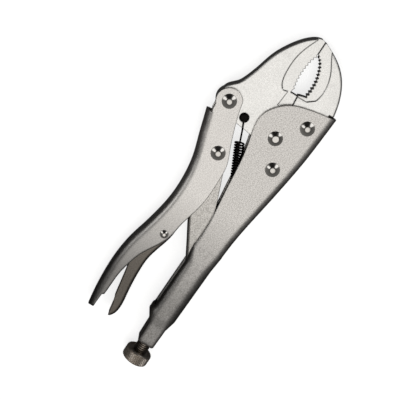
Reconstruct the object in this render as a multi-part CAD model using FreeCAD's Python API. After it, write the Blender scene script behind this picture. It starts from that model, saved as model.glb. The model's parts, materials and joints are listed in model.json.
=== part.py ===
"""Locking pliers with curved jaws, 250 mm nominal, closed and locked over centre.

The outlines are drawn on the tool's mid-plane, X towards the jaws, Y towards the
moving handle and Z across the jaws. Every node is then moved by TO_BASE, so that
the origin is the middle of the underside of the whole tool as it lies flat.
"""
import FreeCAD, Part
import math
import os

from FreeCAD import Vector

# ---------------------------------------------------------------- driving dimensions, mm
SHEET = 1.8                  # pressed steel of both handles
JAW_HALF = 4.7               # half the thickness of the forged jaws
SIDE_CLEARANCE = 0.13        # jaw to the inside of a handle
INNER_HALF = JAW_HALF + SIDE_CLEARANCE
OUTER_HALF = INNER_HALF + SHEET
BEND = 5.8                   # outside radius of the handle bends
EDGE = 0.5                   # softened edges of the pressed sheet
TALL = 70.0                  # height the flanges are folded up to before they are trimmed
RUNNING = 0.05               # radial clearance of every pivot

# pivots, all with their axes along Z
JAW_PIVOT = (61.9, -16.6)
JAW_RIVET_FRONT = (78.0, -30.2)
JAW_RIVET_REAR = (43.9, -26.4)
HANDLE_PIVOT = (66.5, 21.1)
LINK_PIVOT = (34.5, 9.0)
LEVER_PIVOT = (-30.6, 9.3)
LINK_END = (-51.1, -21.7)    # the link's nose, on the screw's axis, beyond the dead centre
SPRING_HOLE = (62.5, 7.2)
SPRING_HOLE_RADIUS = 3.1

# rivets
RIVET_SHANK = 3.3
RIVET_HEAD = 4.85
LEVER_RIVET_SHANK = 1.9
LEVER_RIVET_HEAD = 2.9
HEAD_RIM = 0.3               # upright edge of a rivet's head, below its cone
HEAD_SLOPE = 0.75            # rise of the cone for each millimetre inwards
HEAD_FLAT = 0.38             # flat top of the cone, as a share of the head's radius

# jaws
HUB_RADIUS = 10.0            # round of the moving jaw about its pivot
HUB_CLEARANCE = 0.4
HUB_START = -26              # degrees round the pivot where the hub meets the cutter
EAR_RADIUS = 8.6             # round of the moving jaw about the handle pivot
JAW_EDGE = 1.4               # rounding of the jaws' long outer edges
LIP_HALF = 3.7               # half thickness of the toothed lips
TOOTH_PITCH = 2.4
TOOTH_DEPTH = 1.4

# round tail of the fixed handle and its nut
TUBE_HALF = 7.7
TUBE_BEND = 7.5
SLOT_HALF = 4.6              # half the width of the slot left between the rolled edges
LAP = 1.0                    # the tail is drawn this far over the end of the channel
SEAM = 0.1                   # and stands this much proud of it
NUT_HALF = 6.9
NUT_END = -105.8

# screw and knob, on an axis along X
SCREW_RADIUS = 4.9
SCREW_HOLE = 5.1
SCREW_TIP_GAP = 3.3          # the opened pivot of the linkage: link nose to screw tip
KNOB_RADIUS = 9.5
KNOB_FRONT = -113.1
KNOB_BACK = -121.9
KNOB_RIM = 1.2               # rounding of the knob's edges
KNOB_STEP_RADIUS = 7.4       # shallow ring in the knob's front face
KNOB_STEP_DEPTH = 0.8

# link and release lever
LINK_HALF = 4.3
LINK_SHEET = 1.8
LINK_BEND = 2.6
LINK_NOSE = 3.5
LEVER_HALF = 4.45
LEVER_SHEET = 1.5
LEVER_BEND = 2.4

# tension spring
COIL_RADIUS = 3.5
WIRE = 1.2
COIL_START = (46.8, 0.3)
COIL_END = (13.8, -15.9)
HOOK = (5.4, -20.8)          # where the spring hooks round the tab of the fixed handle
LEG_HEIGHT = 5.45            # the front leg lies over the jaw's face

TO_BASE = Vector(-3.86, 6.56, KNOB_RADIUS)


# ---------------------------------------------------------------- drawing helpers
def at(point, z=0.0):
    return Vector(point[0], point[1], z)


def face(start, *pieces):
    """A face on the mid-plane: from start, each piece is ("line" | "curve" | "arc", points)."""
    edges = []
    here = at(start)
    for kind, points in pieces:
        ahead = [at(p) for p in points]
        if kind == "line":
            for there in ahead:
                edges.append(Part.LineSegment(here, there).toShape())
                here = there
        elif kind == "arc":
            edges.append(Part.Arc(here, ahead[0], ahead[1]).toShape())
            here = ahead[1]
        else:
            spline = Part.BSplineCurve()
            spline.interpolate([here] + ahead)
            edges.append(spline.toShape())
            here = ahead[-1]
    if here.distanceToPoint(at(start)) > 1e-6:
        edges.append(Part.LineSegment(here, at(start)).toShape())
    return Part.Face(Part.Wire(edges))


def slab(plan, low, high):
    """The plan stood up from height low to height high."""
    lifted = plan.copy()
    lifted.translate(Vector(0, 0, low))
    return lifted.extrude(Vector(0, 0, high - low))


def both_sides(solid):
    return [solid, solid.mirror(Vector(0, 0, 0), Vector(0, 0, 1))]


def disc(centre, radius, low, high):
    return Part.makeCylinder(radius, high - low, at(centre, low))


def rod(start, end, radius):
    return Part.makeCylinder(radius, (end - start).Length, start, end - start)


def polar(centre, radius, degrees):
    turn = math.radians(degrees)
    return (centre[0] + radius * math.cos(turn), centre[1] + radius * math.sin(turn))


def rounded(solid, radius, wanted):
    """Round every edge whose middle point answers wanted(point)."""
    edges = []
    for edge in solid.Edges:
        middle = edge.valueAt((edge.FirstParameter + edge.LastParameter) / 2)
        if wanted(middle):
            edges.append(edge)
    return solid.makeFillet(radius, edges)


def offset_line(points, distance):
    """Points moved sideways, to the left of the way they run when distance is positive."""
    moved = []
    for i, point in enumerate(points):
        before = points[max(i - 1, 0)]
        after = points[min(i + 1, len(points) - 1)]
        run = math.hypot(after[0] - before[0], after[1] - before[1])
        left = (-(after[1] - before[1]) / run, (after[0] - before[0]) / run)
        moved.append((point[0] + distance * left[0], point[1] + distance * left[1]))
    return moved


def toothed(points, pitch, depth, side):
    """Saw teeth along a smooth line: valleys on the line, crests depth to its left or right."""
    spline = Part.BSplineCurve()
    spline.interpolate([at(p) for p in points])
    count = round(spline.length() / pitch)
    step = (spline.LastParameter - spline.FirstParameter) / count
    row = []
    for i in range(count):
        crest = spline.FirstParameter + (i + 0.5) * step
        along = spline.tangent(crest)[0]
        tip = spline.value(crest) + Vector(-along.y, along.x, 0) * (depth * side)
        row.append((tip.x, tip.y))
        valley = spline.value(crest + step / 2)
        row.append((valley.x, valley.y))
    return row


# ---------------------------------------------------------------- fixed handle
FIXED_SPINE = [(97.6, -44.0), (81.5, -43.3), (61.5, -42.3), (41.4, -40.3), (21.3, -37.7), (1.2, -34.9),
               (-12.8, -33.4), (-26.8, -32.7), (-32.8, -32.6)]
CHANNEL_END = FIXED_SPINE[-2]
CHANNEL_TOP = -11.3          # free edge where the channel turns into the round tail


def tail_section(x, low, high, half, low_radius, high_radius):
    """A closed rounded rectangle across the tail, four sides and four corners."""
    corners = [(low, half, low_radius), (high, half, high_radius),
               (high, -half, high_radius), (low, -half, low_radius)]
    edges = []
    ends = []
    for i, (y, z, radius) in enumerate(corners):
        before = corners[i - 1]
        after = corners[(i + 1) % 4]
        back = Vector(0, before[0] - y, before[1] - z).normalize()
        ahead = Vector(0, after[0] - y, after[1] - z).normalize()
        corner = Vector(x, y, z)
        centre = corner + (back + ahead) * radius
        middle = centre - (back + ahead).normalize() * radius
        ends.append((corner + back * radius, middle, corner + ahead * radius))
    for i, (enter, middle, leave) in enumerate(ends):
        edges.append(Part.Arc(enter, middle, leave).toShape())
        edges.append(Part.LineSegment(leave, ends[(i + 1) % 4][0]).toShape())
    return Part.Wire(edges)


def bent_sheet(spine, side, half=OUTER_HALF, sheet=SHEET, bend=BEND):
    """Sheet folded into a channel: the web follows the spine, which runs towards -X, and the
    flanges stand up to TALL on its +Y side (side = 1) or its -Y side (side = -1)."""
    blocks = []
    for inset in (0, sheet):
        line = offset_line(spine, -inset * side)
        far = TALL * side
        plan = face(line[0], ("curve", line[1:]), ("line", [(line[-1][0], far), (line[0][0], far)]))
        ends = (line[0][0], line[-1][0])
        blocks.append(rounded(slab(plan, inset - half, half - inset), bend - inset,
                              lambda p: abs(p.z) > 1 and abs(p.y - far) > 1
                              and min(ends) + 1e-3 < p.x < max(ends) - 1e-3))
    return blocks[0].cut(blocks[1])


def fixed_handle():
    plan = face((CHANNEL_END[0], -60),
                ("line", [(CHANNEL_END[0], CHANNEL_TOP)]),
                ("curve", [(-11.6, -11.6), (0.4, -10.7), (15.3, -8.8), (40.2, -5.8), (52.1, -3.3),
                           (60.0, -1.2), (66.5, -0.5), (73.1, -2.0), (79.2, -6.1), (84.4, -12.2),
                           (88.6, -23.3), (91.2, -36.9), (91.9, -43.7)]),
                ("line", [(93.0, -58.3)]))
    channel = bent_sheet(FIXED_SPINE, 1).common(slab(plan, -OUTER_HALF, OUTER_HALF))
    tail = Part.makeLoft([
        tail_section(CHANNEL_END[0] + LAP, CHANNEL_END[1] - SEAM, CHANNEL_TOP + SEAM, OUTER_HALF + SEAM,
                     BEND, EDGE),
        tail_section(-38, -31.9, -11.0, TUBE_HALF, TUBE_BEND, TUBE_BEND),
        tail_section(-82.5, -31.0, -10.5, TUBE_HALF, TUBE_BEND, TUBE_BEND),
        tail_section(-89.8, -28.2, -15.0, NUT_HALF, 2.2, 2.2),
        tail_section(NUT_END + 0.8, -27.7, -15.5, NUT_HALF, 1.8, 1.8),
        tail_section(NUT_END, -27.2, -16.1, NUT_HALF - 0.6, 1.4, 1.4)], True, True)
    bore = Part.makeLoft([
        tail_section(CHANNEL_END[0] + LAP, CHANNEL_END[1] + SHEET - SEAM, -13.4, INNER_HALF + SEAM,
                     BEND - SHEET, 0.6),
        tail_section(-38, -31.9 + SHEET, -11.0 - SHEET, TUBE_HALF - SHEET, TUBE_BEND - SHEET,
                     TUBE_BEND - SHEET),
        tail_section(-79, -31.0 + SHEET, -10.6 - SHEET, TUBE_HALF - SHEET, TUBE_BEND - SHEET,
                     TUBE_BEND - SHEET),
        tail_section(-86.8, -26.8, -16.6, 5.4, 2.2, 2.2)], True, True)
    slot = Part.Face(Part.makePolygon([
        Vector(-19, -17, INNER_HALF), Vector(-32, -17, INNER_HALF), Vector(-39, -17, SLOT_HALF),
        Vector(-78, -17, SLOT_HALF), Vector(-78, -17, -SLOT_HALF), Vector(-39, -17, -SLOT_HALF),
        Vector(-32, -17, -INNER_HALF), Vector(-19, -17, -INNER_HALF), Vector(-19, -17, INNER_HALF)]))
    solid = channel.fuse(tail.cut(bore))
    solid = solid.cut(slot.extrude(Vector(0, 12, 0)))
    axis = at(LINK_END)
    solid = solid.cut(rod(Vector(NUT_END - 5, axis.y, 0), Vector(-79, axis.y, 0), SCREW_HOLE))
    for pivot in (JAW_PIVOT, JAW_RIVET_FRONT, JAW_RIVET_REAR):
        solid = solid.cut(disc(pivot, RIVET_SHANK, -OUTER_HALF - 1, OUTER_HALF + 1))
    tab = Part.makeBox(1.6, 14.5, 6.0, Vector(HOOK[0] - 3.2, -34.5, -3.0))
    hole = rod(Vector(HOOK[0] - 5, HOOK[1] + 0.2, 0), Vector(HOOK[0], HOOK[1] + 0.2, 0), 0.9)
    return solid.fuse(tab).cut(hole).removeSplitter()


# ---------------------------------------------------------------- jaws
def jaw_body(plan, lip_plan, step_edge):
    """A jaw as thick as the tool, its long outer edge rounded, with a thinner toothed lip. The
    edge of the step down to the lip is rounded by step_edge."""
    solid = slab(plan, -JAW_HALF, JAW_HALF)
    longest = max(edge.Length for edge in solid.Edges)
    outer = [edge for edge in solid.Edges if edge.Length > longest - 0.01]
    solid = solid.makeFillet(JAW_EDGE, outer)
    solid = solid.cut(both_sides(slab(lip_plan, LIP_HALF, JAW_HALF + 1)))
    step = [edge for edge in lip_plan.Edges if isinstance(edge.Curve, Part.BSplineCurve)][0]
    return rounded(solid, step_edge, lambda p: abs(abs(p.z) - JAW_HALF) < 1e-3
                   and step.distToShape(Part.Vertex(p.x, p.y, 0))[0] < 1e-3)


def moving_jaw():
    teeth = toothed([(119.6, -9.8), (117.0, -8.6), (110.3, -7.3), (104.3, -7.1), (98.3, -7.7), (93.4, -8.9)],
                    TOOTH_PITCH, TOOTH_DEPTH * 0.8, 1)
    plan = face(polar(HANDLE_PIVOT, EAR_RADIUS, 200),
                ("arc", [polar(HANDLE_PIVOT, EAR_RADIUS, 125), polar(HANDLE_PIVOT, EAR_RADIUS, 60)]),
                ("curve", [(75.4, 26.7), (79.8, 22.5), (84.8, 19.9), (94.6, 16.6), (104.5, 13.7), (114.6, 8.7),
                           (120.8, 4.4), (126.0, -0.5), (128.8, -4.7), (129.6, -7.5)]),
                ("line", [(129.0, -9.6), (119.6, -9.6)]),
                ("line", teeth),
                ("line", [(91.5, -8.6), (91.6, -13.5), (84.6, -14.2),
                          polar(JAW_PIVOT, HUB_RADIUS, HUB_START)]),
                ("arc", [polar(JAW_PIVOT, HUB_RADIUS, -95), polar(JAW_PIVOT, HUB_RADIUS, 180)]),
                ("curve", [(52.6, -10.4), (55.2, -2.6)]),
                ("line", [(56.7, 9.5)]))
    lip = face((90.4, -4.5),
               ("curve", [(91.5, -2.5), (95.1, -0.4), (100.0, 0.6), (106.0, 0.9), (112.0, 0.5), (118.1, -1.0),
                          (123.2, -2.9), (131.3, -6.5)]),
               ("line", [(131.5, -13.3), (92, -13.3), (92, -16), (79.6, -16), (80.4, -6.0), (91.2, -6.9)]))
    solid = jaw_body(plan, lip, 0.6)
    for pivot, radius in ((JAW_PIVOT, RIVET_SHANK + RUNNING), (HANDLE_PIVOT, RIVET_SHANK),
                          (SPRING_HOLE, SPRING_HOLE_RADIUS)):
        solid = solid.cut(disc(pivot, radius, -JAW_HALF - 1, JAW_HALF + 1))
    return solid


def fixed_jaw():
    teeth = toothed([(94.0, -19.5), (98.9, -19.9), (105.1, -19.5), (110.2, -18.1), (115.3, -15.8),
                     (118.4, -13.6), (120.0, -11.4)], TOOTH_PITCH, TOOTH_DEPTH, 1)
    pocket = HUB_RADIUS + HUB_CLEARANCE
    pocket_start = polar(JAW_PIVOT, pocket, HUB_START)
    plan = face(pocket_start,
                ("line", [(84.6, -14.7), (92.2, -13.9), (92.9, -15.2), (94.0, -19.5)]),
                ("line", teeth),
                ("line", [(120.0, -10.1), (128.5, -10.1), (128.9, -10.8)]),
                ("curve", [(126.7, -15.7), (122.0, -24.2), (116.6, -30.3), (109.2, -35.4), (99.7, -39.2),
                           (92.8, -40.8)]),
                ("line", [(92.5, -37.3), (71.4, -36.7), (53.3, -35.4), (43.3, -34.2)]),
                ("arc", [polar(JAW_RIVET_REAR, 8.3, 200), polar(JAW_RIVET_REAR, 8.3, 95)]),
                ("line", [polar(JAW_PIVOT, pocket, 206)]),
                ("arc", [polar(JAW_PIVOT, pocket, 270), pocket_start]))
    lip = face((132.6, -14.7),
               ("line", [(128.6, -14.7)]),
               ("curve", [(125.6, -16.6), (120.7, -19.5), (115.9, -22.5), (110.9, -24.7), (106.0, -25.9),
                          (100.0, -26.1), (95.4, -25.1)]),
               ("line", [(91.7, -20.5), (91.4, -13.8), (92.4, -8.4), (132.4, -8.4)]))
    solid = jaw_body(plan, lip, 0.35)
    for pivot in (JAW_RIVET_FRONT, JAW_RIVET_REAR):
        solid = solid.cut(disc(pivot, RIVET_SHANK, -JAW_HALF - 1, JAW_HALF + 1))
    return solid


# ---------------------------------------------------------------- moving handle
MOVING_SPINE = [(58.9, 31.9), (45.1, 27.7), (37.0, 25.3), (26.9, 22.1), (16.8, 19.9), (6.6, 18.9),
                (-3.6, 18.8), (-13.8, 19.8), (-24.1, 21.7), (-34.4, 24.1), (-44.7, 26.7), (-54.9, 28.3),
                (-65.2, 29.0), (-75.3, 28.9), (-86.9, 28.2), (-98.9, 26.8), (-106.8, 25.6)]
WEB_START = 54.8             # the web ends here, and only the two ears run on to the jaw
SPOON_TIP = -101.6
SPOON_ROUND = 5.0


def moving_handle():
    ear = EAR_RADIUS
    plan = face((WEB_START, TALL),
                ("line", [(WEB_START, 26.4)]),
                ("curve", [(55.6, 26.9), (57.6, 27.3), polar(HANDLE_PIVOT, ear, 122)]),
                ("arc", [polar(HANDLE_PIVOT, ear, 30), polar(HANDLE_PIVOT, ear, -62)]),
                ("curve", [(59.6, 10.7), (49.7, 7.3), (39.9, 3.4), (35.0, 1.2), (30.0, -0.4), (20.0, -1.3),
                           (10.1, -1.5), (0.0, -0.8), (-10.0, 1.2), (-20.1, 3.5), (-27.2, 4.4), (-35.2, 6.8),
                           (-42.4, 10.6), (-50.5, 15.1), (-60.6, 18.3), (-70.7, 20.2), (-80.7, 20.6),
                           (-88.3, 21.0)]),
                ("line", [(-89.2, 22.3), (-95.8, 22.6), (SPOON_TIP, 22.6), (SPOON_TIP, TALL)]))
    trough = Part.makeBox(WEB_START - SPOON_TIP, 2 * TALL, 2 * OUTER_HALF,
                          Vector(SPOON_TIP, -TALL, -OUTER_HALF))
    trough = rounded(trough, SPOON_ROUND, lambda p: p.x < SPOON_TIP + 1 and abs(p.y) < 1)
    web = bent_sheet(MOVING_SPINE, -1).common(trough).common(slab(plan, -OUTER_HALF, OUTER_HALF))
    ahead = Part.makeBox(50, 2 * TALL, 2 * OUTER_HALF, Vector(WEB_START, -TALL, -OUTER_HALF))
    solid = web.fuse([plate.common(ahead) for plate in both_sides(slab(plan, INNER_HALF, OUTER_HALF))])
    solid = solid.removeSplitter()
    for pivot, radius in ((HANDLE_PIVOT, RIVET_SHANK + RUNNING), (LINK_PIVOT, RIVET_SHANK),
                          (LEVER_PIVOT, LEVER_RIVET_SHANK)):
        solid = solid.cut(disc(pivot, radius, -OUTER_HALF - 1, OUTER_HALF + 1))
    return solid


# ---------------------------------------------------------------- toggle link and release lever
LINK_WEB = [(41.5, 18.1), (32.8, 15.4), (19.7, 12.2), (7.8, 8.5), (-4.1, 5.4), (-12.0, 2.5), (-23.8, -3.8),
            (-35.5, -10.3), (-43.4, -14.5), (-52.8, -18.7), (-59.2, -21.5)]


def toggle_link():
    """A folded sheet link, its web along the upper edge and its nose on the screw's axis."""
    top = polar(LINK_PIVOT, 6.2, 100)
    plan = face((top[0], TALL),
                ("line", [top]),
                ("arc", [polar(LINK_PIVOT, 6.2, 10), polar(LINK_PIVOT, 6.6, -70)]),
                ("line", [(27.3, -0.2), (8.4, -7.7), (-19.3, -18.1), polar(LINK_END, LINK_NOSE, -62)]),
                ("arc", [polar(LINK_END, LINK_NOSE, 208), (-52.9, -18.5)]),
                ("line", [(-52.9, TALL)]))
    folded = bent_sheet(LINK_WEB, -1, LINK_HALF, LINK_SHEET, LINK_BEND)
    solid = folded.common(slab(plan, -LINK_HALF, LINK_HALF))
    return solid.cut(disc(LINK_PIVOT, RIVET_SHANK + RUNNING, -LINK_HALF - 1, LINK_HALF + 1))


LEVER_WEB = [(-8.1, 5.9), (-20.1, 3.9), (-28.0, 3.5), (-36.1, 4.9), (-44.7, 7.3), (-52.5, 8.9), (-62.5, 9.1),
             (-72.5, 8.5), (-82.5, 7.3), (-92.4, 6.4), (-98.2, 7.4), (-101.2, 9.2), (-108.4, 14.2)]


def release_lever():
    """A folded trough nested in the moving handle, with its web towards the fixed handle."""
    plan = face((-14.5, -TALL),
                ("line", [(-14.7, 6.8), (-20.3, 9.5)]),
                ("curve", [(-25.4, 14.1), (-31.5, 16.1), (-40.5, 17.8), (-48.6, 19.4), (-56.6, 19.0),
                           (-65.5, 17.4), (-78.5, 15.2), (-88.4, 13.6)]),
                ("line", [(-91.4, 12.4), (-101.0, 11.0), (-101.0, -TALL)]))
    solid = bent_sheet(LEVER_WEB, 1, LEVER_HALF, LEVER_SHEET, LEVER_BEND)
    solid = solid.common(slab(plan, -LEVER_HALF, LEVER_HALF))
    return solid.cut(disc(LEVER_PIVOT, LEVER_RIVET_SHANK + RUNNING, -LEVER_HALF - 1, LEVER_HALF + 1))


# ---------------------------------------------------------------- rivets
def rivet(centre, shank, head):
    """A through rivet with a cone head, flat on top, on both faces of the tool."""
    solid = disc(centre, shank, -OUTER_HALF, OUTER_HALF)
    rim = disc(centre, head, OUTER_HALF, OUTER_HALF + HEAD_RIM)
    flat = head * HEAD_FLAT
    cone = Part.makeCone(head, flat, (head - flat) * HEAD_SLOPE, at(centre, OUTER_HALF + HEAD_RIM))
    return solid.fuse(both_sides(rim.fuse(cone))).removeSplitter()


# ---------------------------------------------------------------- screw, knob and spring
def adjusting_screw():
    axis = LINK_END[1]
    tip = LINK_END[0] - LINK_NOSE - SCREW_TIP_GAP
    solid = rod(Vector(KNOB_FRONT, axis, 0), Vector(tip, axis, 0), SCREW_RADIUS)
    solid = rounded(solid, 0.8, lambda p: p.x > tip - 0.1)
    stub = rod(Vector(KNOB_BACK + 2, axis, 0), Vector(KNOB_FRONT, axis, 0), SCREW_RADIUS - 1.4)
    return solid.fuse(stub)


def screw_knob():
    axis = LINK_END[1]
    solid = rod(Vector(KNOB_BACK, axis, 0), Vector(KNOB_FRONT, axis, 0), KNOB_RADIUS)
    solid = solid.makeFillet(KNOB_RIM, [e for e in solid.Edges if e.Closed])
    ring = rod(Vector(KNOB_FRONT - KNOB_STEP_DEPTH, axis, 0), Vector(KNOB_FRONT + 1, axis, 0),
               KNOB_STEP_RADIUS)
    socket = rod(Vector(KNOB_BACK + 2, axis, 0), Vector(KNOB_FRONT + 1, axis, 0), SCREW_RADIUS - 1.4)
    return solid.cut(ring).cut(socket)


def tension_spring():
    """The closely wound coil as one tube, with a straight leg and hook at each end."""
    start = at(COIL_START)
    end = at(COIL_END)
    coil = rod(start, end, COIL_RADIUS).cut(rod(start, end, COIL_RADIUS - WIRE))
    cap = rod(start, start + (end - start).normalize() * WIRE, COIL_RADIUS)
    foot = rod(end - (end - start).normalize() * WIRE, end, COIL_RADIUS)
    knee = at(SPRING_HOLE, LEG_HEIGHT)
    wires = [(start, at(polar(SPRING_HOLE, 8.0, 207), LEG_HEIGHT)),
             (at(polar(SPRING_HOLE, 8.0, 207), LEG_HEIGHT), knee),
             (knee, at(SPRING_HOLE, -2.0)),
             (end, Vector(HOOK[0], HOOK[1] + 0.2, 0)),
             (Vector(HOOK[0], HOOK[1] + 0.2, 0), Vector(HOOK[0] - 4.2, HOOK[1] + 0.2, 0))]
    solid = coil.fuse([cap, foot])
    for first, last in wires:
        solid = solid.fuse([rod(first, last, WIRE / 2), Part.makeSphere(WIRE / 2, last)])
    return solid


# ---------------------------------------------------------------- the whole tool
NODES = {
    "fixed_handle": fixed_handle(),
    "fixed_jaw": fixed_jaw(),
    "moving_jaw": moving_jaw(),
    "moving_handle": moving_handle(),
    "toggle_link": toggle_link(),
    "release_lever": release_lever(),
    "tension_spring": tension_spring(),
    "adjusting_screw": adjusting_screw(),
    "screw_knob": screw_knob(),
    "jaw_pivot_rivet": rivet(JAW_PIVOT, RIVET_SHANK, RIVET_HEAD),
    "fixed_jaw_rivet_front": rivet(JAW_RIVET_FRONT, RIVET_SHANK, RIVET_HEAD),
    "fixed_jaw_rivet_rear": rivet(JAW_RIVET_REAR, RIVET_SHANK, RIVET_HEAD),
    "handle_rivet": rivet(HANDLE_PIVOT, RIVET_SHANK, RIVET_HEAD),
    "link_rivet": rivet(LINK_PIVOT, RIVET_SHANK, RIVET_HEAD),
    "lever_rivet": rivet(LEVER_PIVOT, LEVER_RIVET_SHANK, LEVER_RIVET_HEAD),
}

os.makedirs("parts", exist_ok=True)
for name, shape in NODES.items():
    shape.translate(TO_BASE)
    shape.exportStep("parts/" + name + ".step")
    box = shape.BoundBox
    print(name, shape.ShapeType, len(shape.Solids), shape.isValid(), round(shape.Volume),
          [round(v, 2) for v in (box.XMin, box.XMax, box.YMin, box.YMax, box.ZMin, box.ZMax)])
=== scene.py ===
import json
import math

import bmesh
import bpy
from mathutils import Matrix, Vector

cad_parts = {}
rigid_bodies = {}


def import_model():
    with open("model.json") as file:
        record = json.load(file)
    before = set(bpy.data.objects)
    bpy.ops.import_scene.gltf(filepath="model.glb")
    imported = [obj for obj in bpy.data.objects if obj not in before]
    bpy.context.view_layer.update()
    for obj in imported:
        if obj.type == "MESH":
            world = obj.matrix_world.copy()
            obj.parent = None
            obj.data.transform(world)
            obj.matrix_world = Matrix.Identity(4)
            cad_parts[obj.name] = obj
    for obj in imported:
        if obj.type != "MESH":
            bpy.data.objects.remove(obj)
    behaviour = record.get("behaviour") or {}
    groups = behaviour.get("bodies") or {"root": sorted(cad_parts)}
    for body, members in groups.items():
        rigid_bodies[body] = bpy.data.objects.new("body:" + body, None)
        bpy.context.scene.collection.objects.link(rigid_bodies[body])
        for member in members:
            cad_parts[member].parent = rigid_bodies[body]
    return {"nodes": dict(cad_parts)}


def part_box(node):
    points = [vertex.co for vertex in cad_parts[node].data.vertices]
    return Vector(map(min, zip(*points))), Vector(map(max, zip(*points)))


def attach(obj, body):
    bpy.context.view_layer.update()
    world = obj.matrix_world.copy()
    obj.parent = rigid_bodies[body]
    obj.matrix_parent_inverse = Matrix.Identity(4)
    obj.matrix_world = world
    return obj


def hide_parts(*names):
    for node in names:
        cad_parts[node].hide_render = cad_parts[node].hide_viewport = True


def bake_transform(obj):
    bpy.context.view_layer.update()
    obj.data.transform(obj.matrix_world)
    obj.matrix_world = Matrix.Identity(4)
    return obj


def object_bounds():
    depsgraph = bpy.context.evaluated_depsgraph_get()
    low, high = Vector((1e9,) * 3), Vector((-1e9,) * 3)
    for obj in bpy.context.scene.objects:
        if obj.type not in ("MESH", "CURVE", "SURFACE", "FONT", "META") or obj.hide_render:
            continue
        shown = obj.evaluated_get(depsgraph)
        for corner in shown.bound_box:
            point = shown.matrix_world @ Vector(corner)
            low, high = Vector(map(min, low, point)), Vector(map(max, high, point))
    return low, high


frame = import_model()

cad_low, cad_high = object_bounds()
MM = 0.001

# ---------------------------------------------------------------- the table and the light
# The closed tool lies on its side on a plain pale sheet of paper, under a broad soft light.
# The light falls off towards the horizon, so bends and edges of the plated steel turn dark.
middle = (cad_low + cad_high) / 2


def linear(colour):
    """An sRGB hex colour as linear red, green and blue."""
    parts = [int(colour[i:i + 2], 16) / 255 for i in (0, 2, 4)]
    return [p / 12.92 if p <= 0.04045 else ((p + 0.055) / 1.055) ** 2.4 for p in parts]


def add(tree, kind, links=None, **settings):
    """Adds a node: its settings by name, and its inputs as values or as sockets to link."""
    made = tree.nodes.new("ShaderNode" + kind)
    for name, value in settings.items():
        setattr(made, name, value)
    for name, value in (links or {}).items():
        if isinstance(value, bpy.types.NodeSocket):
            tree.links.new(value, made.inputs[name])
        else:
            made.inputs[name].default_value = value
    return made


def new_material(name):
    """An empty node material and its output node."""
    material = bpy.data.materials.new(name)
    material.use_nodes = True
    material.node_tree.nodes.clear()
    return material, add(material.node_tree, "OutputMaterial")


def deselect():
    bpy.ops.object.select_all(action="DESELECT")


deselect()
bpy.ops.mesh.primitive_plane_add(size=6, location=(middle.x, middle.y, cad_low.z - 0.1 * MM))
table = bpy.context.object
table.name = "table"
sheet, out = new_material("matt_white_paper")
tree = sheet.node_tree
paper = add(tree, "BsdfDiffuse", {"Color": (*linear("F4F4F4"), 1)})
glow = add(tree, "Emission", {"Color": (1, 1, 1, 1), "Strength": 0.74})
both = add(tree, "AddShader", {0: paper.outputs[0], 1: glow.outputs[0]})
tree.links.new(both.outputs[0], out.inputs["Surface"])
table.data.materials.append(sheet)
table.visible_glossy = False

world = bpy.data.worlds.new("studio")
bpy.context.scene.world = world
world.use_nodes = True
tree = world.node_tree
tree.nodes.clear()
direction = add(tree, "TexCoord").outputs["Generated"]
# The soft light hangs overhead, a little towards the tail and the fixed handle. Each stop is
# a cosine from its middle, and how bright the light is there.
overhead = add(tree, "VectorMath", {0: direction, 1: Vector((-0.20, -0.14, 0.97)).normalized()},
               operation="DOT_PRODUCT")
falloff = add(tree, "ValToRGB", {0: overhead.outputs["Value"]})
STOPS = [(0.0, 0.03), (0.45, 0.11), (0.74, 0.18), (0.86, 0.40), (0.95, 1.00), (1.0, 1.12)]
ramp = falloff.color_ramp.elements
for stop, level in STOPS:
    spot = ramp[0] if stop == 0.0 else ramp[-1] if stop == 1.0 else ramp.new(stop)
    spot.position = stop
    spot.color = (level, level * 0.985, level * 0.965, 1)
light = falloff.outputs["Color"]
# Two small lamps stand past the jaws, with a black screen between them. They show on polished
# steel as two glints with a dark band between.
SCREEN_EDGE, SCREEN_FULL = 0.88, 0.94
LAMP_EDGE, LAMP_FULL = 0.966, 0.982
screen = add(tree, "VectorMath", {0: direction, 1: Vector((0.55, 0.36, 0.75)).normalized()},
             operation="DOT_PRODUCT")
shade = add(tree, "MapRange", {0: screen.outputs["Value"], 1: SCREEN_EDGE, 2: SCREEN_FULL,
                             3: 1.0, 4: 0.12})
light = add(tree, "VectorMath", {0: light, 1: shade.outputs[0]}, operation="MULTIPLY").outputs[0]
for lamp in ((-0.09, 0.74, 0.67), (0.62, -0.39, 0.68)):
    facing = add(tree, "VectorMath", {0: direction, 1: Vector(lamp).normalized()},
                 operation="DOT_PRODUCT")
    glint = add(tree, "MapRange", {0: facing.outputs["Value"], 1: LAMP_EDGE, 2: LAMP_FULL,
                                   3: 0.0, 4: 1.2})
    light = add(tree, "VectorMath", {0: light, 1: glint.outputs[0]}, operation="ADD").outputs[0]
sky = add(tree, "Background", {"Color": light, "Strength": 1.0})
final = add(tree, "OutputWorld", {"Surface": sky.outputs[0]})

# The camera looks down on the tool from a little to the jaws' side and the moving handle's
# side, turned so that the jaws point up and to the right of the picture.
VIEW_DISTANCE = 0.600
VIEW_FROM = Vector((0.2507, 0.1500, 0.9564))
PICTURE_UP = Vector((0.8452, 0.5344, 0.0))
AIM = Vector((-3.74 * MM, 7.56 * MM, middle.z))
camera_data = bpy.data.cameras.new("camera")
camera_data.sensor_width = 36
camera_data.lens = 82.3
camera_data.clip_start = 0.01
camera = bpy.data.objects.new("camera", camera_data)
bpy.context.scene.collection.objects.link(camera)
back = VIEW_FROM.normalized()
right = PICTURE_UP.cross(back).normalized()
up = back.cross(right)
camera.matrix_world = Matrix((
    (right.x, up.x, back.x, AIM.x + back.x * VIEW_DISTANCE),
    (right.y, up.y, back.y, AIM.y + back.y * VIEW_DISTANCE),
    (right.z, up.z, back.z, AIM.z + back.z * VIEW_DISTANCE),
    (0, 0, 0, 1)))
bpy.context.scene.camera = camera
bpy.context.scene.view_settings.view_transform = "Standard"


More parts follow.
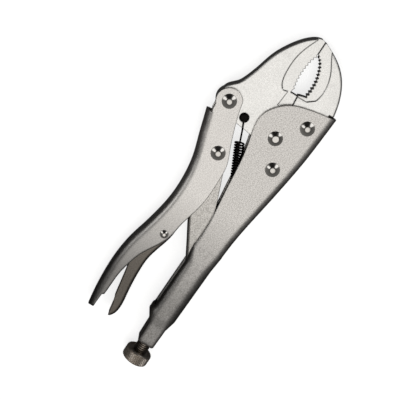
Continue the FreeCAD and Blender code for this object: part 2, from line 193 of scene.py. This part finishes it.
# ---------------------------------------------------------------- the pressed handles
# Both handles, the link and the lever are folded from steel sheet, tumbled and then plated
# with satin nickel. The plate keeps the fine grit of the tumbling, drawn coarser than life so
# that it shows. Towards the tail its tone is darkened by painted shade, which stands in for the
# shade on the tail's rounder sides.
GRIT = 0.7 * MM
GRIT_SHARE = 0.78            # of the plate's tone; the rest comes from the patches
PATCHES = 9 * MM
DULL_AT, BRIGHT_AT = 0.38, 0.62
DARKER_FROM = 0 * MM         # along the tool, where the tone starts to darken
DARKEST_AT = -75 * MM
EDGE_ROUND = 0.9 * MM


def satin_nickel(name, colour, dull, roughness, bump, tail_painted_shade=1.0, broad=EDGE_ROUND):
    """Satin nickel plate: a metal with fine grit and soft uneven patches of polish. Towards the
    tail its tone is multiplied by the painted shade given for the tail, and edges catch the
    light as if rounded by broad."""
    material, out = new_material(name)
    tree = material.node_tree
    place = add(tree, "TexCoord").outputs["Object"]
    grit = add(tree, "TexNoise", {"Vector": place, "Scale": 1 / GRIT, "Detail": 2.0, "Roughness": 0.6})
    patches = add(tree, "TexNoise", {"Vector": place, "Scale": 1 / PATCHES, "Detail": 3.0})
    blend = add(tree, "Math", {0: grit.outputs[0], 1: GRIT_SHARE}, operation="MULTIPLY")
    blend = add(tree, "Math", {0: patches.outputs[0], 1: 1 - GRIT_SHARE, 2: blend.outputs[0]},
                operation="MULTIPLY_ADD")
    tone = add(tree, "ValToRGB", {0: blend.outputs[0]})
    tone.color_ramp.elements[0].position = DULL_AT
    tone.color_ramp.elements[0].color = (*linear(dull), 1)
    tone.color_ramp.elements[1].position = BRIGHT_AT
    tone.color_ramp.elements[1].color = (*linear(colour), 1)
    polish = add(tree, "MapRange", {0: patches.outputs[0], 1: 0.3, 2: 0.7, 3: roughness - 0.05,
                                    4: roughness + 0.06})
    along = add(tree, "SeparateXYZ", {"Vector": place}).outputs["X"]
    # painted shade: the tone darkens along the tool towards the tail, for the shade on its rounder sides
    painted_tail_shade = add(tree, "MapRange", {0: along, 1: DARKER_FROM, 2: DARKEST_AT, 3: 1.0, 4: tail_painted_shade})
    shade = add(tree, "VectorMath", {0: tone.outputs[0], 1: painted_tail_shade.outputs[0]}, operation="MULTIPLY")
    bend = add(tree, "MapRange", {0: along, 1: DARKER_FROM, 2: (DARKER_FROM + DARKEST_AT) / 2,
                                  3: EDGE_ROUND, 4: broad})
    edges = add(tree, "Bevel", {"Radius": bend.outputs[0]}, samples=8)
    relief = add(tree, "Bump", {"Height": grit.outputs[0], "Strength": bump, "Distance": 0.05 * MM,
                                "Normal": edges.outputs[0]})
    steel = add(tree, "BsdfPrincipled", {
        "Base Color": shade.outputs[0], "Metallic": 1.0, "Roughness": polish.outputs[0],
        "Normal": relief.outputs[0]})
    tree.links.new(steel.outputs[0], out.inputs["Surface"])
    return material


def finish_node(name, material):
    """Gives a CAD node its finish."""
    node = frame["nodes"][name]
    node.data.materials.clear()
    node.data.materials.append(material)
    return node


# the tail values are painted shade, multiplying each part's tone towards its tail
finish_node("fixed_handle", satin_nickel("satin_nickel_fixed_handle", "E9E6E2", "B3B0AC", 0.31, 0.30,
                                         tail_painted_shade=0.42, broad=4.2 * MM))
finish_node("moving_handle", satin_nickel("satin_nickel_moving_handle", "EEEBE7", "C9C6C2", 0.31, 0.25,
                                          tail_painted_shade=0.30, broad=2.2 * MM))
finish_node("toggle_link", satin_nickel("satin_nickel_link", "E0DDD8", "A8A5A0", 0.31, 0.25, tail_painted_shade=0.7))
# the lever's plate colour is set dark: painted shade for its rolled sides, which lie in shadow
finish_node("release_lever", satin_nickel("satin_nickel_lever", "8E8880", "746E67", 0.34, 0.25, tail_painted_shade=0.6))

# ---------------------------------------------------------------- the forged jaws
# Both jaws are forged in steel, milled flat on their faces and plated. The milled faces
# take a smoother, paler plate than the handles.
jaw_steel = satin_nickel("satin_nickel_jaws", "F6F5F2", "DEDDDA", 0.28, 0.2)
finish_node("fixed_jaw", jaw_steel)
finish_node("moving_jaw", jaw_steel)


# ---------------------------------------------------------------- the rivets
# Each rivet is a turned steel pin, its ends formed cold into cones with a flat top, and polished
# bright, so that it mirrors the lamps. One section serves all, at the size of each one's node.
FLAT_SHARE = 0.33            # radius of the flat top, as a share of the head's
HEAD_SECTION = [  # share of the head's radius, share of its height, from the flat top down
    (FLAT_SHARE, 1.0), (0.35, 0.985), (0.37, 0.94), (0.46, 0.62), (0.50, 0.57), (0.95, 0.13), (0.985, 0.11),
    (1.0, 0.07), (1.0, 0.0)]
HEAD_FACE = 6.63 * MM        # from the middle of the tool to the face under a head
SHANK = 0.66                 # the shank's radius, as a share of the head's
AROUND = 96


def close_and_smooth(piece, angle):
    """Merges doubled points, turns every face outwards and shades smoothly up to the angle."""
    deselect()
    piece.select_set(True)
    bpy.context.view_layer.objects.active = piece
    bpy.ops.object.mode_set(mode="EDIT")
    bpy.ops.mesh.select_all(action="SELECT")
    bpy.ops.mesh.remove_doubles(threshold=0.002 * MM)
    bpy.ops.mesh.normals_make_consistent(inside=False)
    bpy.ops.object.mode_set(mode="OBJECT")
    bpy.ops.object.transform_apply(location=True, rotation=True, scale=True)
    bpy.ops.object.shade_smooth_by_angle(angle=math.radians(angle))


def turned(name, centre, axis, section, around):
    """A turned part: a disc at the first (radius, distance) of its section, pulled on through
    each of the others along the axis and widened or narrowed to its radius."""
    radius, distance = section[0]
    tilt = (0, math.pi / 2, 0) if axis.x else (0, 0, 0)
    deselect()
    bpy.ops.mesh.primitive_circle_add(vertices=around, radius=radius, fill_type="NGON",
                                      location=centre + axis * distance, rotation=tilt)
    piece = bpy.context.object
    piece.name = name
    bpy.ops.object.mode_set(mode="EDIT")
    bpy.ops.mesh.select_all(action="SELECT")
    for next_radius, next_distance in section[1:]:
        bpy.ops.mesh.extrude_region_move(
            TRANSFORM_OT_translate={"value": axis * (next_distance - distance)})
        if next_radius != radius:
            share = next_radius / radius
            across = (1, share, share) if axis.x else (share, share, 1)
            bpy.ops.transform.resize(value=across, center_override=centre + axis * next_distance)
        radius, distance = next_radius, next_distance
    bpy.ops.object.mode_set(mode="OBJECT")
    return piece


def polished_steel(name, colour, roughness):
    """Polished plated steel: a clean metal with faint rubbing marks."""
    material, out = new_material(name)
    tree = material.node_tree
    place = add(tree, "TexCoord").outputs["Object"]
    rubbed = add(tree, "TexNoise", {"Vector": place, "Scale": 1 / (0.5 * MM), "Detail": 2.0})
    relief = add(tree, "Bump", {"Height": rubbed.outputs[0], "Strength": 0.08, "Distance": 0.05 * MM})
    steel = add(tree, "BsdfPrincipled", {"Base Color": (*linear(colour), 1), "Metallic": 1.0,
                                         "Roughness": roughness, "Normal": relief.outputs[0]})
    tree.links.new(steel.outputs[0], out.inputs["Surface"])
    return material


rivet_finish = polished_steel("polished_rivet_steel", "D2CFCA", 0.12)
RIVETS = [("jaw_pivot_rivet", "fixed_handle", 1.25), ("fixed_jaw_rivet_front", "fixed_handle", 1.0),
          ("fixed_jaw_rivet_rear", "fixed_handle", 1.0), ("handle_rivet", "moving_jaw", 1.0),
          ("link_rivet", "moving_handle", 1.0), ("lever_rivet", "moving_handle", 1.0)]
for node, body, flat in RIVETS:  # flat is how many times wider than the others' its top is
    low, high = (Vector(corner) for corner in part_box(node))
    centre = (low + high) / 2
    head = (high.x - low.x) / 2
    rise = (high.z - low.z) / 2 - HEAD_FACE
    half = []
    for share, level in HEAD_SECTION:
        wider = share + (flat - 1) * FLAT_SHARE * (1 - share) / (1 - FLAT_SHARE)
        half.append((head * wider, HEAD_FACE + rise * level))
    half.append((head * SHANK, HEAD_FACE))
    section = [(r, -h) for r, h in half] + [(r, h) for r, h in reversed(half)]
    rivet = turned(node + "_turned", centre, Vector((0, 0, 1)), section, AROUND)
    close_and_smooth(rivet, 22)
    rivet.data.materials.append(rivet_finish)
    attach(rivet, body)
    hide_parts(node)

# ---------------------------------------------------------------- the adjusting screw
# A 10 mm steel screw with a rolled thread of 1.5 mm pitch, blackened and oiled. It runs through
# the nut squeezed into the handle's tail and bears on the nose of the link.
PITCH = 1.5 * MM
THREAD_CREST = 4.9 * MM
THREAD_ROOT = 3.95 * MM
THREAD_STEPS = 48            # round one turn of the thread
SCREW_IN_KNOB = 1.6 * MM     # how far the screw runs into the knob
TIP_GAP = 0.6 * MM           # the thread stops this far short of the screw's tip
low, high = (Vector(corner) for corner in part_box("adjusting_screw"))
screw_axis = Vector((0, (low.y + high.y) / 2, (low.z + high.z) / 2))
knob_low, knob_high = (Vector(corner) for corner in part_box("screw_knob"))
screw_back = knob_high.x - SCREW_IN_KNOB
turns = math.ceil((high.x - screw_back) / PITCH) + 2

deselect()
bpy.ops.mesh.primitive_plane_add(size=1, location=(screw_back - PITCH, screw_axis.y, screw_axis.z))
screw = bpy.context.object
screw.name = "threaded_screw"
bpy.ops.object.mode_set(mode="EDIT")
bpy.ops.mesh.select_all(action="SELECT")
bpy.ops.mesh.merge(type="CENTER")
bpy.ops.transform.translate(value=(0, 0, THREAD_ROOT))
half_root = PITCH / 8
flank = PITCH * 5 / 16
crest = PITCH / 8
rise = THREAD_CREST - THREAD_ROOT
for along, outwards in ((half_root, 0), (flank, rise), (crest, 0), (flank, -rise), (half_root, 0)):
    bpy.ops.mesh.extrude_region_move(TRANSFORM_OT_translate={"value": (along, 0, outwards)})
bpy.ops.object.mode_set(mode="OBJECT")
winding = screw.modifiers.new("thread", "SCREW")
winding.axis = "X"
winding.screw_offset = PITCH
winding.iterations = turns
winding.steps = THREAD_STEPS
winding.render_steps = THREAD_STEPS
winding.use_merge_vertices = True
winding.merge_threshold = 0.002 * MM
bpy.ops.object.modifier_apply(modifier="thread")


def trim(piece, place, direction):
    """Cuts the piece off flat at the place, takes off what lies that way and closes the cut."""
    bpy.context.view_layer.objects.active = piece
    bpy.ops.object.mode_set(mode="EDIT")
    bpy.ops.mesh.select_all(action="SELECT")
    bpy.ops.mesh.remove_doubles(threshold=0.002 * MM)
    bpy.ops.mesh.select_all(action="SELECT")
    bpy.ops.mesh.bisect(plane_co=place, plane_no=direction, use_fill=True, clear_outer=True)
    bpy.ops.object.mode_set(mode="OBJECT")


trim(screw, (screw_back, 0, 0), (-1, 0, 0))
trim(screw, (high.x - TIP_GAP, 0, 0), (1, 0, 0))
close_and_smooth(screw, 25)
# blackening and oil leave a dark metal with a soft sheen
oiled = polished_steel("oiled_black_steel", "968E85", 0.28)
screw.data.materials.append(oiled)
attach(screw, "adjusting_screw")
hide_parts("adjusting_screw")

# ---------------------------------------------------------------- the knurled knob
# The screw's head is turned steel, rolled with a diamond knurl and oiled. Its edges are
# rounded, and a shallow recess is turned in the face towards the handle.
KNURLS = 32                  # diamonds round the knob, 1.9 mm apart, coarser than life to show
KNURL_DEPTH = 0.5 * MM
ROUND = 1.3 * MM             # rounding of the knob's edges
KNURL_ROWS = 8
knob_radius = (knob_high.z - knob_low.z) / 2 - KNURL_DEPTH
knob_length = knob_high.x - knob_low.x
corner = []
for i in range(6):
    turn = math.radians(90 * i / 5)
    corner.append((knob_radius - ROUND + ROUND * math.sin(turn), ROUND - ROUND * math.cos(turn)))
row = (knob_length - 2 * ROUND) / KNURL_ROWS
section = [(knob_radius * 0.45, 0.0), (knob_radius - ROUND * 1.4, 0.0)] + corner
section += [(knob_radius, ROUND + row * (i + 1)) for i in range(KNURL_ROWS - 1)]
section += [(r, knob_length - d) for r, d in reversed(corner)]
recess = 7.4 * MM
RECESS_DEPTH = 0.9 * MM
CHAMFER = 0.25 * MM
section += [(recess + CHAMFER, knob_length), (recess, knob_length - CHAMFER),
            (recess - 0.1 * MM, knob_length - RECESS_DEPTH),
            (THREAD_CREST * 0.7, knob_length - RECESS_DEPTH)]
knob_back = Vector((knob_low.x, screw_axis.y, screw_axis.z))
knob = turned("knurled_knob", knob_back, Vector((1, 0, 0)), section, 2 * KNURLS)
bpy.ops.object.mode_set(mode="EDIT")
bpy.ops.mesh.select_all(action="DESELECT")
shape = bmesh.from_edit_mesh(knob.data)
for point in shape.verts:
    here = knob.matrix_world @ point.co - knob_back
    level = round((here.x - ROUND) / row)
    spoke = round(math.atan2(here.z, here.y) / (math.pi / KNURLS))
    # the knurl covers the round side and stops on the rounded edges
    on_band = ROUND * 0.6 < here.x < knob_length - ROUND * 0.6 and here.yz.length > knob_radius * 0.97
    if on_band and (level + spoke) % 2 == 0:
        point.select = True
shape.select_flush(True)
bmesh.update_edit_mesh(knob.data)
raised = 1 + KNURL_DEPTH / knob_radius
bpy.ops.transform.resize(value=(1, raised, raised), center_override=knob_back)
# creases along the valleys turn every raised point into a small pyramid
bpy.ops.mesh.select_more()
bpy.ops.mesh.quads_convert_to_tris(quad_method="SHORTEST_DIAGONAL")
bpy.ops.object.mode_set(mode="OBJECT")
close_and_smooth(knob, 12)
knurled = polished_steel("blackened_knurled_steel", "D6CDC3", 0.32)
knob.data.materials.append(knurled)
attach(knob, "screw_knob")
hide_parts("screw_knob")

# ---------------------------------------------------------------- the tension spring
# Close-wound black spring wire. Its rear end hooks a tab in the fixed handle, and its front leg
# lies over the moving jaw's face and turns down into the jaw's hole.
WIRE = 0.6 * MM              # radius of the wire
COIL = 2.9 * MM              # from the coil's axis to the wire's middle
COIL_PITCH = 1.75 * MM
LEG_HEIGHT = 5.45 * MM       # of the front leg's middle over the middle of the tool
low, high = (Vector(corner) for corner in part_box("jaw_pivot_rivet"))
pivot = (low + high) / 2     # the jaw's pivot, from which the spring's places are measured
coil_front = pivot + Vector((-15.1, 16.9, 0)) * MM
coil_rear = pivot + Vector((-48.1, 0.7, 0)) * MM
hook = pivot + Vector((-56.5, -4.0, 0)) * MM
hole = pivot + Vector((0.6, 23.8, 0)) * MM
run = coil_rear - coil_front
lay = run.normalized()
turns = round(run.length / COIL_PITCH)
heading = math.atan2(run.y, run.x)

deselect()
bpy.ops.mesh.primitive_circle_add(vertices=10, radius=WIRE, location=(0, 0, 0), rotation=(math.pi / 2, 0, 0))
spring = bpy.context.object
spring.name = "tension_spring_wire"
bpy.ops.object.transform_apply(location=False, rotation=True, scale=False)
bpy.ops.object.mode_set(mode="EDIT")
bpy.ops.mesh.select_all(action="SELECT")
bpy.ops.transform.translate(value=(0, 0, COIL))
bpy.ops.object.mode_set(mode="OBJECT")
winding = spring.modifiers.new("coils", "SCREW")
winding.axis = "X"
winding.screw_offset = run.length / turns
winding.iterations = turns
winding.steps = 28
winding.render_steps = 28
bpy.ops.object.modifier_apply(modifier="coils")
spring.rotation_euler = (0, 0, heading)
spring.location = coil_front
bpy.ops.object.transform_apply(location=True, rotation=True, scale=True)
bpy.ops.object.mode_set(mode="EDIT")
bpy.ops.mesh.select_all(action="DESELECT")
bpy.ops.mesh.select_mode(type="VERT")
bpy.ops.mesh.select_non_manifold()
bpy.ops.mesh.fill()
bpy.ops.object.mode_set(mode="OBJECT")


def wire_leg(name, route):
    """A straight-sided wire leg: a small disc swept from point to point of its route."""
    first = (route[1] - route[0]).normalized()
    deselect()
    bpy.ops.mesh.primitive_circle_add(vertices=10, radius=WIRE, fill_type="NGON", location=route[0],
                                      rotation=first.to_track_quat("Z", "Y").to_euler())
    leg = bpy.context.object
    leg.name = name
    bpy.ops.object.mode_set(mode="EDIT")
    bpy.ops.mesh.select_all(action="SELECT")
    facing = first
    for i in range(1, len(route)):
        bpy.ops.mesh.extrude_region_move(TRANSFORM_OT_translate={"value": route[i] - route[i - 1]})
        ahead = (route[min(i + 1, len(route) - 1)] - route[i - 1]).normalized()
        swing = facing.rotation_difference(ahead)
        shape = bmesh.from_edit_mesh(leg.data)
        frame_of = leg.matrix_world
        back_to = frame_of.inverted()
        for point in shape.verts:
            if point.select:
                point.co = back_to @ (route[i] + swing @ (frame_of @ point.co - route[i]))
        bmesh.update_edit_mesh(leg.data)
        facing = ahead
    bpy.ops.object.mode_set(mode="OBJECT")
    return leg


def rounded_route(corners, radius):
    """The route with each corner turned on a short curve."""
    route = [corners[0]]
    for before, corner, after in zip(corners, corners[1:], corners[2:]):
        enter = corner + (before - corner).normalized() * radius
        leave = corner + (after - corner).normalized() * radius
        for i in range(6):
            t = i / 5
            route.append(enter.lerp(corner, t).lerp(corner.lerp(leave, t), t))
    return route + [corners[-1]]


rise = Vector((0, 0, 1))
leg_foot = hole + (coil_front - hole).normalized() * 9 * MM + rise * LEG_HEIGHT
front_leg = wire_leg("front_leg", rounded_route(
    [coil_front + lay * 0.4 * MM + rise * COIL, coil_front - lay * 1.5 * MM + rise * (COIL + 0.6 * MM),
     leg_foot, hole + rise * LEG_HEIGHT, hole - rise * 2.0 * MM], 0.9 * MM))
rear_leg = wire_leg("rear_leg", rounded_route(
    [coil_rear - lay * 0.4 * MM + rise * COIL, coil_rear + lay * 2.2 * MM + rise * 1.2 * MM, hook,
     hook + Vector((-4.0, 0, 0)) * MM], 0.9 * MM))
deselect()
for piece in (front_leg, rear_leg, spring):
    piece.select_set(True)
bpy.context.view_layer.objects.active = spring
bpy.ops.object.join()
close_and_smooth(spring, 40)
# oil-tempered wire is nearly black, with thin bright lines along each coil
black_wire = polished_steel("black_spring_wire", "2A2725", 0.35)
spring.data.materials.append(black_wire)
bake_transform(spring)
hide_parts("tension_spring")

# ---------------------------------------------------------------- the spring's post
# A black button set in the moving jaw's hole; its black is painted shade for the dark hole.
# The spring's front leg ends under it, and its low round top stands just proud of the jaw.
POST_RADIUS = 3.0 * MM
POST_RISE = 0.9 * MM
JAW_FACE = 4.7 * MM          # from the middle of the tool to the jaw's face
post_section = [(0.5 * POST_RADIUS, -JAW_FACE), (POST_RADIUS, -JAW_FACE), (POST_RADIUS, JAW_FACE)]
for i in range(1, 7):
    turn = math.radians(90 * i / 7)
    post_section.append((POST_RADIUS * math.cos(turn), JAW_FACE + POST_RISE * math.sin(turn)))
post = turned("spring_post", hole, Vector((0, 0, 1)), post_section, 48)
close_and_smooth(post, 40)
# the post's near-black colour is painted shade standing in for the shadowed hole
post.data.materials.append(polished_steel("black_post_painted_hole_shade", "1E1C1B", 0.45))
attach(post, "moving_jaw")
